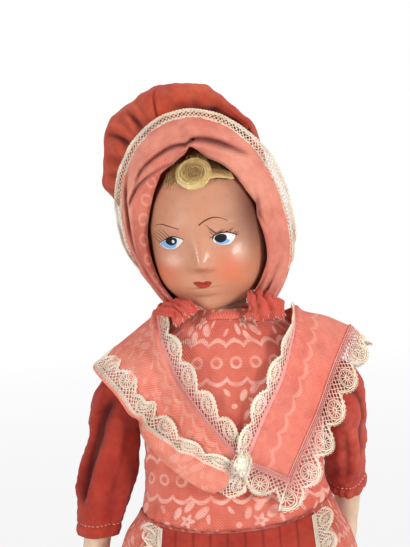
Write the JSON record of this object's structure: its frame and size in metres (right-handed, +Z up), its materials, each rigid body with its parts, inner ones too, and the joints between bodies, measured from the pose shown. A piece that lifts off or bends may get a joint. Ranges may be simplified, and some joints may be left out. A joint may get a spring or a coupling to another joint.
{
  "type": "dressed cloth doll",
  "caption": "Stuffed cloth doll with a painted mask face, turned-back bonnet, crossed lace fichu, print dress and pleated apron; head, arms and legs move.",
  "frame": {"origin": "on the floor under the middle of the doll's skirt", "axes": "+Z up along the body, -Y the way the doll looks, +X to the doll's own left"},
  "size_m": [0.164, 0.154, 0.4054],
  "materials": {
    "muslin": "plain weave, sawdust stuffed",
    "print_cotton": "coral twill with a small printed scallop",
    "faded_cotton": "faded pink cotton",
    "red_cotton": "brick red plain weave",
    "lace": "cream bobbin lace",
    "white_cotton": "plain white cotton",
    "sock_knit": "fine knit",
    "painted_mask": "pressed mask, painted and varnished",
    "mohair": "blond mohair",
    "pasteboard": "grey board",
    "pin_steel": "drawn wire",
    "black_felt": "felt",
    "sole_leather": "thin sole leather"
  },
  "bodies": {
    "torso": {"torso": "muslin", "neck_disc": "pasteboard", "neck_pin": "pin_steel", "body_discs": "pasteboard", "shoulder_pins": "pin_steel", "hip_seams": "muslin", "bodice": "print_cotton", "collar": "print_cotton", "petticoat": "white_cotton", "skirt": "print_cotton", "apron": "red_cotton", "apron_lace_left": "lace", "apron_lace_right": "lace", "fichu_left": "print_cotton", "fichu_right": "print_cotton", "fichu_lace_neck_left": "lace", "fichu_lace_neck_right": "lace", "fichu_lace_edge_left": "lace", "fichu_lace_edge_right": "lace", "rosette": "lace"},
    "head": {"head_ball": "muslin", "head_disc": "pasteboard", "face_mask": "painted_mask", "hair_curls": "mohair", "bonnet_brim": "faded_cotton", "bonnet_crown": "red_cotton", "bonnet_lace": "lace", "bonnet_tie_left": "faded_cotton", "bonnet_tie_right": "faded_cotton"},
    "arm_left": {"arm_left": "muslin", "arm_disc_left": "pasteboard", "sleeve_left": "red_cotton"},
    "arm_right": {"arm_right": "muslin", "arm_disc_right": "pasteboard", "sleeve_right": "red_cotton"},
    "leg_left": {"leg_left": "muslin", "sock_left": "sock_knit", "shoe_left": "black_felt", "sole_left": "sole_leather", "strap_left": "black_felt"},
    "leg_right": {"leg_right": "muslin", "sock_right": "sock_knit", "shoe_right": "black_felt", "sole_right": "sole_leather", "strap_right": "black_felt"}
  },
  "joints": [
    {"name": "neck_swivel", "type": "hinge", "parent": "torso", "child": "head", "pos_m": [-0.004, 0, 0.306], "axis": [-0.0955, -0.0872, 0.9916], "range_deg": [-30, 50], "deforming": ["bonnet_tie_left", "bonnet_tie_right"]},
    {"name": "shoulder_left", "type": "hinge", "parent": "torso", "child": "arm_left", "pos_m": [0.053, 0, 0.268], "axis": [-1, 0, 0], "range_deg": [-15, 120], "deforming": ["fichu_left", "fichu_lace_edge_left", "skirt", "apron_lace_left"]},
    {"name": "shoulder_right", "type": "hinge", "parent": "torso", "child": "arm_right", "pos_m": [-0.053, 0, 0.268], "axis": [-1, 0, 0], "range_deg": [-45, 90], "deforming": ["fichu_right", "fichu_lace_edge_right"]},
    {"name": "hip_left", "type": "hinge", "parent": "torso", "child": "leg_left", "pos_m": [0.017, 0, 0.1723], "axis": [-1, 0, 0], "range_deg": [-20, 25]},
    {"name": "hip_right", "type": "hinge", "parent": "torso", "child": "leg_right", "pos_m": [-0.017, 0, 0.1723], "axis": [-1, 0, 0], "range_deg": [-20, 25]}
  ]
}
